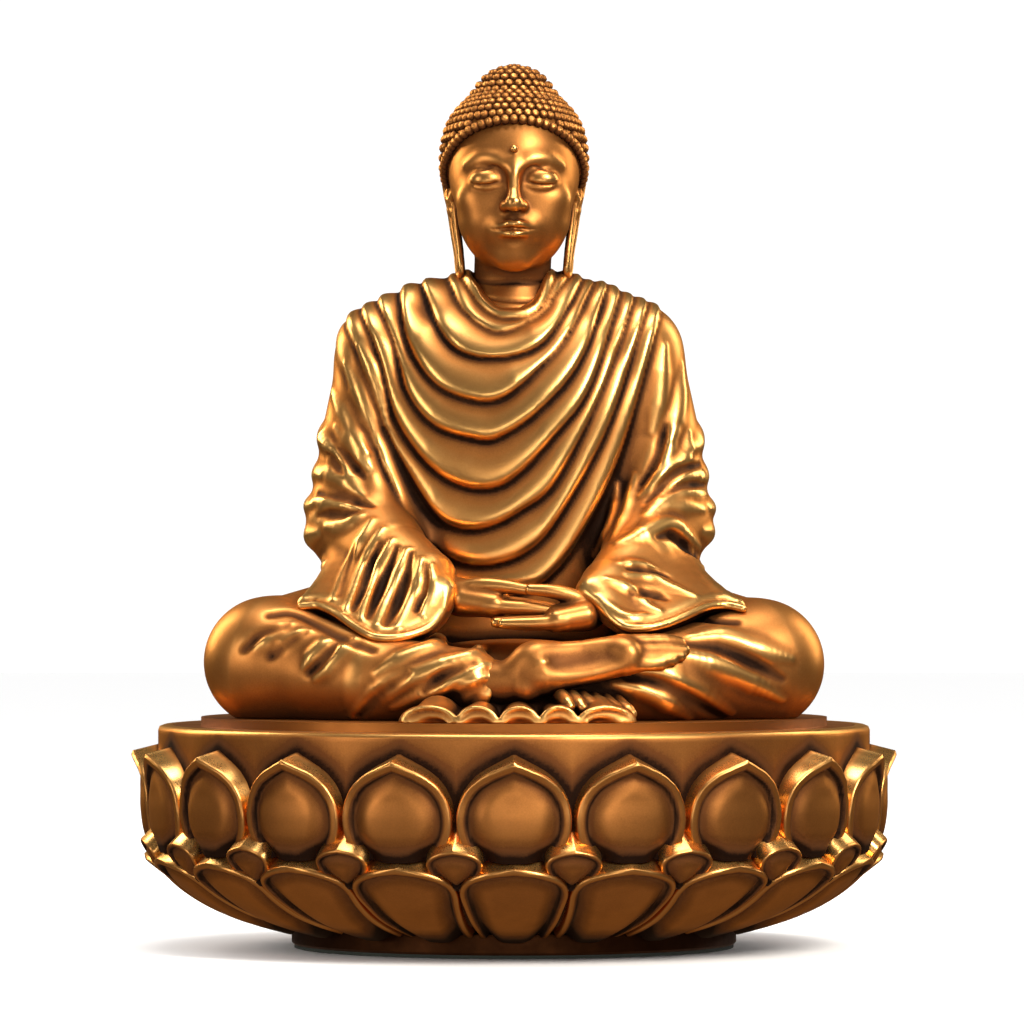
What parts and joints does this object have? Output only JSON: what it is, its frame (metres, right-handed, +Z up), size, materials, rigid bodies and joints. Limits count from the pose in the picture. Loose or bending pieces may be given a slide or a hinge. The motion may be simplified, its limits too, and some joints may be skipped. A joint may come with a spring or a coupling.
{
  "type": "buddha statue",
  "caption": "Seated meditating buddha in a draped robe on a round lotus throne, cast in hollow sections with an antique bronze finish; the figure lifts off two pegs.",
  "frame": {"origin": "on the axis of the round throne, at the face that stands on the table", "axes": "+Z up; the figure faces -Y; +X is the figure's left"},
  "size_m": [0.345, 0.345, 0.3978],
  "materials": {
    "bronze_robe": "antique bronze, burnished on the folds and dark in the creases",
    "bronze_skin": "antique bronze, smooth and burnished",
    "bronze_hair": "antique bronze, dark between the curls",
    "bronze_petal": "antique bronze, satin, dark round the rims",
    "bronze_throne": "antique bronze, satin",
    "bronze_foot": "dark brown patina",
    "plate_brass": "plain rolled brass sheet",
    "screw_steel": "bright steel",
    "felt": "black wool felt"
  },
  "bodies": {
    "throne": {"throne_bowl": "bronze_throne", "deck_disc": "bronze_throne", "foot_ring": "bronze_foot", "closing_plate": "plate_brass", "plate_screws": "screw_steel", "base_felt": "felt", "locating_pegs": "screw_steel", "bud_petals": "bronze_petal", "upper_petal_01": "bronze_petal", "upper_petal_02": "bronze_petal", "upper_petal_03": "bronze_petal", "upper_petal_04": "bronze_petal", "upper_petal_05": "bronze_petal", "upper_petal_06": "bronze_petal", "upper_petal_07": "bronze_petal", "upper_petal_08": "bronze_petal", "upper_petal_09": "bronze_petal", "upper_petal_10": "bronze_petal", "upper_petal_11": "bronze_petal", "upper_petal_12": "bronze_petal", "upper_petal_13": "bronze_petal", "upper_petal_14": "bronze_petal", "upper_petal_15": "bronze_petal", "upper_petal_16": "bronze_petal", "upper_petal_17": "bronze_petal", "upper_petal_18": "bronze_petal", "upper_petal_19": "bronze_petal", "upper_petal_20": "bronze_petal", "lower_petals": "bronze_petal"},
    "figure": {"figure_plinth": "bronze_throne", "right_leg": "bronze_robe", "left_leg": "bronze_robe", "lap_drape": "bronze_robe", "robe_fan": "bronze_robe", "right_foot": "bronze_skin", "torso": "bronze_robe", "right_sleeve": "bronze_robe", "left_sleeve": "bronze_robe", "right_hand": "bronze_skin", "left_hand": "bronze_skin", "head": "bronze_skin", "hair_cap": "bronze_hair"}
  },
  "joints": [
    {"name": "figure_lift", "type": "slide", "parent": "throne", "child": "figure", "axis": [0, 0, 1], "range_m": [0, 0.08]}
  ]
}
